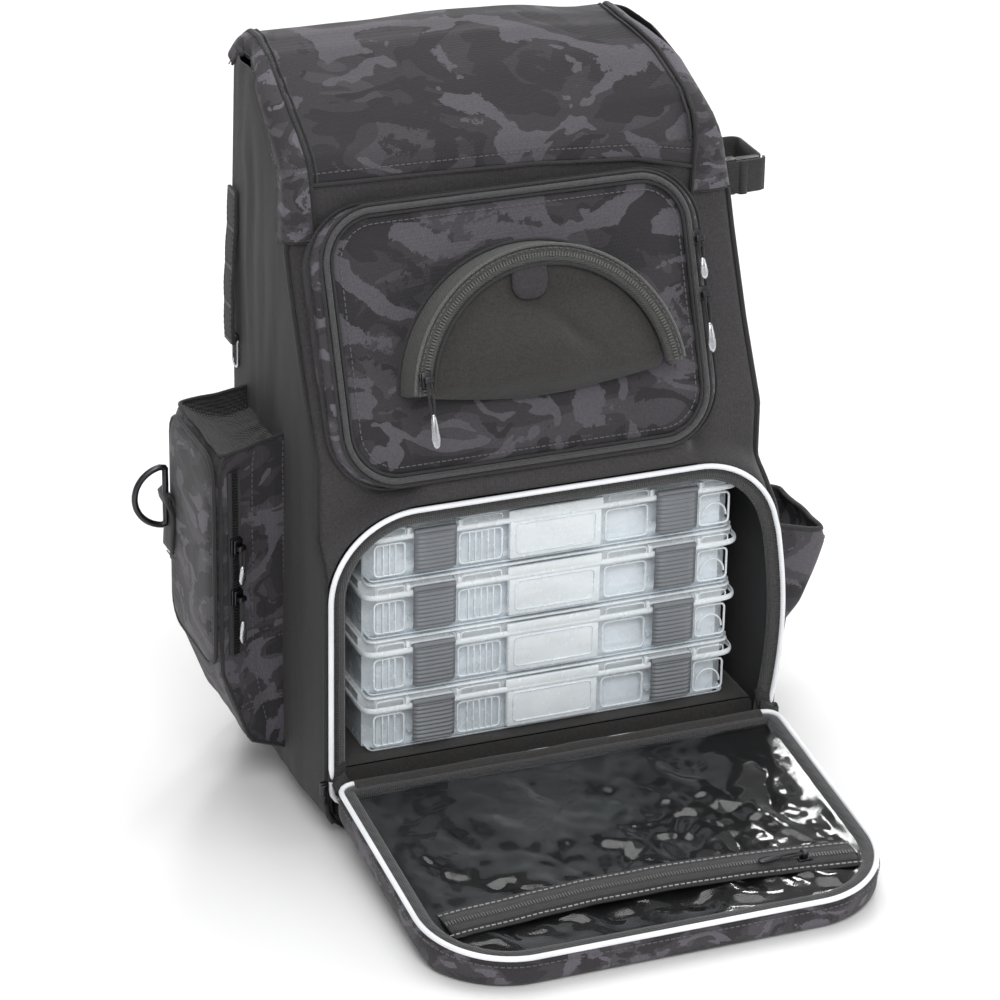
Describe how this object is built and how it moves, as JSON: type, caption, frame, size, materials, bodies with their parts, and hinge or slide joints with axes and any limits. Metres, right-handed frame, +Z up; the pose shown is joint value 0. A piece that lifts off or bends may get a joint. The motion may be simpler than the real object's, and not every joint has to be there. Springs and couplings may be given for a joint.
{
  "type": "tackle backpack",
  "caption": "Fishing tackle backpack with a fold-down front flap over a bay of clear tackle boxes, zipped pockets, a top lid, side pockets and a padded harness.",
  "frame": {"origin": "centre of the width on the underside of the base, 97.3 mm behind the body's front plane", "axes": "+Z up, -Y out of the front of the pack, towards the open flap, +X to the right as seen from the front"},
  "size_m": [0.4927, 0.4854, 0.516],
  "materials": {
    "plain_fabric": "matt woven polyester",
    "camo_fabric": "matt printed woven polyester",
    "stiff_board": "matt",
    "foam": "matt mesh over foam",
    "white_piping": "satin reflective",
    "zip_tape": "ribbed tape",
    "clear_pvc": "gloss",
    "black_metal": "satin",
    "silver_metal": "satin",
    "webbing": "ribbed webbing",
    "buckle_plastic": "satin",
    "clear_polypropylene": "satin translucent",
    "latch_plastic": "satin"
  },
  "bodies": {
    "pack": {"main_shell": "plain_fabric", "base_board": "stiff_board", "base_riser": "foam", "shelf_board": "stiff_board", "frame_sheet": "stiff_board", "opening_piping": "white_piping", "front_pocket": "camo_fabric", "left_pocket": "camo_fabric", "right_pocket": "plain_fabric", "rod_buckle_socket": "buckle_plastic", "tool_strip": "webbing", "back_padding": "foam", "shoulder_strap_left": "foam", "shoulder_strap_right": "foam", "sternum_webbing": "webbing", "sternum_socket": "buckle_plastic"},
    "zip_slider_left": {"zip_slider_left": "black_metal"},
    "zip_slider_right": {"zip_slider_right": "black_metal"},
    "lid": {"top_lid": "camo_fabric"},
    "lid_slider_left": {"lid_slider_left": "black_metal"},
    "lid_slider_right": {"lid_slider_right": "black_metal"},
    "front_door": {"front_door": "camo_fabric", "moon_pocket": "zip_tape"},
    "front_slider_upper": {"front_slider_upper": "black_metal"},
    "front_slider_lower": {"front_slider_lower": "black_metal"},
    "front_pull_upper": {"front_pull_upper": "silver_metal"},
    "front_pull_lower": {"front_pull_lower": "silver_metal"},
    "moon_door": {"moon_door": "plain_fabric"},
    "moon_slider": {"moon_slider": "black_metal"},
    "moon_pull": {"moon_pull": "silver_metal"},
    "flap": {"flap_panel": "camo_fabric", "flap_piping": "white_piping", "flap_window": "clear_pvc", "flap_zip": "zip_tape"},
    "flap_slider": {"flap_slider": "black_metal"},
    "flap_pull": {"flap_pull": "silver_metal"},
    "left_door": {"left_door": "camo_fabric", "ring_tab": "webbing"},
    "left_slider_upper": {"left_slider_upper": "black_metal"},
    "left_slider_lower": {"left_slider_lower": "black_metal"},
    "left_pull_upper": {"left_pull_upper": "silver_metal"},
    "left_pull_lower": {"left_pull_lower": "silver_metal"},
    "d_ring": {"d_ring": "black_metal"},
    "rod_release": {"rod_buckle_plug": "buckle_plastic", "rod_strap": "webbing"},
    "wire_clip": {"wire_clip": "silver_metal"},
    "haul_handle": {"haul_handle": "webbing"},
    "sternum_release": {"sternum_plug": "buckle_plastic"},
    "tray_1": {"tray_1_base": "clear_polypropylene", "tray_1_lid": "clear_polypropylene"},
    "tray_1_latches": {"tray_1_latches": "latch_plastic"},
    "tray_2": {"tray_2_base": "clear_polypropylene", "tray_2_lid": "clear_polypropylene"},
    "tray_2_latches": {"tray_2_latches": "latch_plastic"},
    "tray_3": {"tray_3_base": "clear_polypropylene", "tray_3_lid": "clear_polypropylene"},
    "tray_3_latches": {"tray_3_latches": "latch_plastic"},
    "tray_4": {"tray_4_base": "clear_polypropylene", "tray_4_lid": "clear_polypropylene"},
    "tray_4_latches": {"tray_4_latches": "latch_plastic"}
  },
  "joints": [
    {"name": "flap_fold", "type": "hinge", "parent": "pack", "child": "flap", "pos_m": [0, -0.118, 0.0365], "axis": [1, 0, 0], "range_deg": [-96.86, 0]},
    {"name": "flap_slider_run", "type": "slide", "parent": "flap", "child": "flap_slider", "axis": [-1, 0, 0], "range_m": [0, 0.19]},
    {"name": "flap_pull_swing", "type": "hinge", "parent": "flap_slider", "child": "flap_pull", "pos_m": [0.1055, -0.27668, 0.03272], "axis": [0, 0.9928, 0.1194], "range_deg": [0, 90]},
    {"name": "zip_slider_left_run", "type": "slide", "parent": "pack", "child": "zip_slider_left", "axis": [0, 0, 1], "range_m": [0, 0.13]},
    {"name": "zip_slider_right_run", "type": "slide", "parent": "pack", "child": "zip_slider_right", "axis": [0, 0, 1], "range_m": [0, 0.13]},
    {"name": "lid_fold", "type": "hinge", "parent": "pack", "child": "lid", "pos_m": [0, -0.02, 0.446], "axis": [1, 0, 0], "range_deg": [0, 75]},
    {"name": "lid_slider_left_run", "type": "slide", "parent": "pack", "child": "lid_slider_left", "axis": [-1, 0, 0], "range_m": [0, 0.1]},
    {"name": "lid_slider_right_run", "type": "slide", "parent": "pack", "child": "lid_slider_right", "axis": [1, 0, 0], "range_m": [0, 0.1]},
    {"name": "front_door_fold", "type": "hinge", "parent": "pack", "child": "front_door", "pos_m": [-0.017, -0.09547, 0.26353], "axis": [1, 0, 0], "range_deg": [0, 65]},
    {"name": "front_slider_upper_run", "type": "slide", "parent": "pack", "child": "front_slider_upper", "axis": [0, 0.3551, 0.9348], "range_m": [0, 0.01]},
    {"name": "front_slider_lower_run", "type": "slide", "parent": "pack", "child": "front_slider_lower", "axis": [0, -0.3551, -0.9348], "range_m": [0, 0.055]},
    {"name": "front_pull_upper_swing", "type": "hinge", "parent": "front_slider_upper", "child": "front_pull_upper", "pos_m": [0.1173, -0.05381, 0.38783], "axis": [-1, 0, 0], "range_deg": [0, 110]},
    {"name": "front_pull_lower_swing", "type": "hinge", "parent": "front_slider_lower", "child": "front_pull_lower", "pos_m": [0.1173, -0.0673, 0.35231], "axis": [-1, 0, 0], "range_deg": [0, 110]},
    {"name": "moon_door_fold", "type": "hinge", "parent": "front_door", "child": "moon_door", "pos_m": [-0.009, -0.09865, 0.33063], "axis": [1, 0, 0], "range_deg": [0, 75]},
    {"name": "moon_slider_arc", "type": "hinge", "parent": "front_door", "child": "moon_slider", "pos_m": [-0.009, -0.10531, 0.31647], "axis": [0, 0.9348, -0.3551], "range_deg": [0, 150]},
    {"name": "moon_pull_swing", "type": "hinge", "parent": "moon_slider", "child": "moon_pull", "pos_m": [-0.0972, -0.10565, 0.33586], "axis": [-1, 0, 0], "range_deg": [0, 110]},
    {"name": "left_door_fold", "type": "hinge", "parent": "pack", "child": "left_door", "pos_m": [-0.2255, 0.05, 0.19], "axis": [0, 0, -1], "range_deg": [0, 75]},
    {"name": "left_slider_upper_run", "type": "slide", "parent": "pack", "child": "left_slider_upper", "axis": [0, 0, 1], "range_m": [0, 0.05]},
    {"name": "left_slider_lower_run", "type": "slide", "parent": "pack", "child": "left_slider_lower", "axis": [0, 0, -1], "range_m": [0, 0.075]},
    {"name": "left_pull_upper_swing", "type": "hinge", "parent": "left_slider_upper", "child": "left_pull_upper", "pos_m": [-0.20774, -0.04646, 0.205], "axis": [-0.9188, -0.3947, 0], "range_deg": [0, 100]},
    {"name": "left_pull_lower_swing", "type": "hinge", "parent": "left_slider_lower", "child": "left_pull_lower", "pos_m": [-0.20774, -0.04646, 0.167], "axis": [-0.9188, -0.3947, 0], "range_deg": [0, 100]},
    {"name": "d_ring_swing", "type": "hinge", "parent": "left_door", "child": "d_ring", "pos_m": [-0.2335, 0.04, 0.21], "axis": [0, 0, 1], "range_deg": [-70, 70]},
    {"name": "rod_buckle_release", "type": "slide", "parent": "pack", "child": "rod_release", "axis": [1, 0, 0], "range_m": [0, 0.022]},
    {"name": "wire_clip_swing", "type": "hinge", "parent": "pack", "child": "wire_clip", "pos_m": [-0.168, 0.083, 0.3], "axis": [0, 1, 0], "range_deg": [0, 120]},
    {"name": "haul_handle_swing", "type": "hinge", "parent": "pack", "child": "haul_handle", "pos_m": [0, 0.1092, 0.482], "axis": [1, 0, 0], "range_deg": [0, 170]},
    {"name": "sternum_release", "type": "slide", "parent": "pack", "child": "sternum_release", "axis": [1, 0, 0], "range_m": [0, 0.02]},
    {"name": "tray_1_draw", "type": "slide", "parent": "pack", "child": "tray_1", "axis": [0, -1, 0], "range_m": [0, 0.19]},
    {"name": "tray_1_latches_open", "type": "hinge", "parent": "tray_1", "child": "tray_1_latches", "pos_m": [0.004, -0.0819, 0.089], "axis": [-1, 0, 0], "range_deg": [0, 100]},
    {"name": "tray_2_draw", "type": "slide", "parent": "pack", "child": "tray_2", "axis": [0, -1, 0], "range_m": [0, 0.19]},
    {"name": "tray_2_latches_open", "type": "hinge", "parent": "tray_2", "child": "tray_2_latches", "pos_m": [0.004, -0.0819, 0.132], "axis": [-1, 0, 0], "range_deg": [0, 100]},
    {"name": "tray_3_draw", "type": "slide", "parent": "pack", "child": "tray_3", "axis": [0, -1, 0], "range_m": [0, 0.19]},
    {"name": "tray_3_latches_open", "type": "hinge", "parent": "tray_3", "child": "tray_3_latches", "pos_m": [0.004, -0.0819, 0.175], "axis": [-1, 0, 0], "range_deg": [0, 100]},
    {"name": "tray_4_draw", "type": "slide", "parent": "pack", "child": "tray_4", "axis": [0, -1, 0], "range_m": [0, 0.19]},
    {"name": "tray_4_latches_open", "type": "hinge", "parent": "tray_4", "child": "tray_4_latches", "pos_m": [0.004, -0.0819, 0.218], "axis": [-1, 0, 0], "range_deg": [0, 100]}
  ]
}
